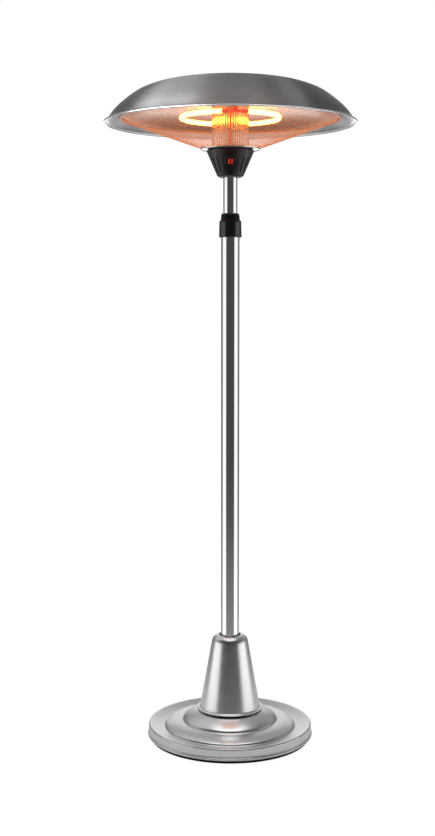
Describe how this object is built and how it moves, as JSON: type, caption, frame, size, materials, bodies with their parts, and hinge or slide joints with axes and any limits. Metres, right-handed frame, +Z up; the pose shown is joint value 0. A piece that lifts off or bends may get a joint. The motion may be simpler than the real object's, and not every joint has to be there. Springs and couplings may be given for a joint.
{
  "type": "infrared patio heater tower",
  "caption": "Free-standing electric infrared heater: dished head with a ring lamp behind a mesh cone, on a telescopic pole with a weighted round base.",
  "frame": {"origin": "middle of the base on the floor", "axes": "+Z up along the pole, -Y towards the front with the display, +X to the right seen from the front"},
  "size_m": [0.601, 0.601, 1.596],
  "materials": {
    "spun_dome": "brushed, dark grey sheen",
    "polished_reflector": "polished",
    "guard_wire": "fine bright wire mesh",
    "satin_steel": "satin",
    "chrome_tube": "mirror chrome",
    "silver_base": "satin silver",
    "silver_cone": "satin silver",
    "zinc": "zinc plated",
    "black_gloss": "glossy black",
    "black_satin": "satin black",
    "grey_plastic": "moulded grey",
    "white_nylon": "natural nylon",
    "cast_ballast": "cast concrete",
    "dark_steel": "painted dark",
    "foot_rubber": "matte black",
    "lamp_glass": "clear quartz, glowing",
    "ceramic_red": "fired ceramic in lamp glow",
    "clip_steel": "spring steel, heat tinted",
    "display_glass": "smoked, glossy",
    "led_red": "red seven-segment display",
    "board_green": "solder mask",
    "relay_blue": "moulded blue",
    "lead_sleeve": "glass-fibre sleeving"
  },
  "bodies": {
    "stand": {"base_cover": "silver_base", "base_ballast": "cast_ballast", "base_bottom_plate": "dark_steel", "base_foot_ring": "foot_rubber", "cable_grommet": "foot_rubber", "pole_socket": "dark_steel", "socket_bolt_1": "zinc", "socket_bolt_2": "zinc", "socket_bolt_3": "zinc", "socket_bolt_4": "zinc", "socket_set_screw": "zinc", "lower_pole": "chrome_tube", "lock_collet": "white_nylon", "pole_end_collar": "black_gloss"},
    "cone_cover": {"cone_cover": "silver_cone"},
    "lock_sleeve": {"lock_sleeve": "black_gloss"},
    "mast": {"upper_pole": "chrome_tube", "upper_pole_bush": "white_nylon", "hub_housing": "black_satin", "hub_bottom_cap": "grey_plastic", "display_window": "display_glass", "led_display": "led_red", "control_board": "board_green", "power_board": "board_green", "relay": "relay_blue", "terminal_block": "white_nylon", "tip_over_switch": "black_satin", "switch_body": "black_satin", "hub_plate": "satin_steel", "column_foot_plate": "zinc", "column_screw_1": "zinc", "column_screw_2": "zinc", "column_screw_3": "zinc", "centre_column": "polished_reflector", "column_top_plate": "zinc", "reflector_pan": "polished_reflector", "guard_mesh": "guard_wire", "guard_ring": "satin_steel", "guard_screw_1": "zinc", "guard_screw_2": "zinc", "guard_screw_3": "zinc", "guard_screw_4": "zinc", "lamp_tube": "lamp_glass", "lamp_end_cap_left": "ceramic_red", "lamp_end_cap_right": "ceramic_red", "lamp_holder": "ceramic_red", "lamp_clip_left": "clip_steel", "lamp_clip_right": "clip_steel", "lamp_clip_rear": "clip_steel", "lamp_lead_left": "lead_sleeve", "lamp_lead_right": "lead_sleeve", "dome_spacer_1": "zinc", "dome_spacer_2": "zinc", "dome_spacer_3": "zinc", "dome_shell": "spun_dome", "dome_screw_1": "zinc", "dome_screw_2": "zinc", "dome_screw_3": "zinc"},
    "power_rocker": {"power_rocker": "black_gloss"}
  },
  "joints": [
    {"name": "mast_slide", "type": "slide", "parent": "stand", "child": "mast", "axis": [0, 0, 1], "range_m": [-0.075, 0.45]},
    {"name": "lock_twist", "type": "hinge", "parent": "stand", "child": "lock_sleeve", "pos_m": [0, 0, 1.243], "axis": [0, 0, 1], "range_deg": [0, 120]},
    {"name": "cone_slide", "type": "slide", "parent": "stand", "child": "cone_cover", "axis": [0, 0, 1], "range_m": [0, 0.25]},
    {"name": "rocker_tilt", "type": "hinge", "parent": "mast", "child": "power_rocker", "pos_m": [0, 0.04499, 1.397], "axis": [1, 0, 0], "range_deg": [-12, 0]}
  ]
}
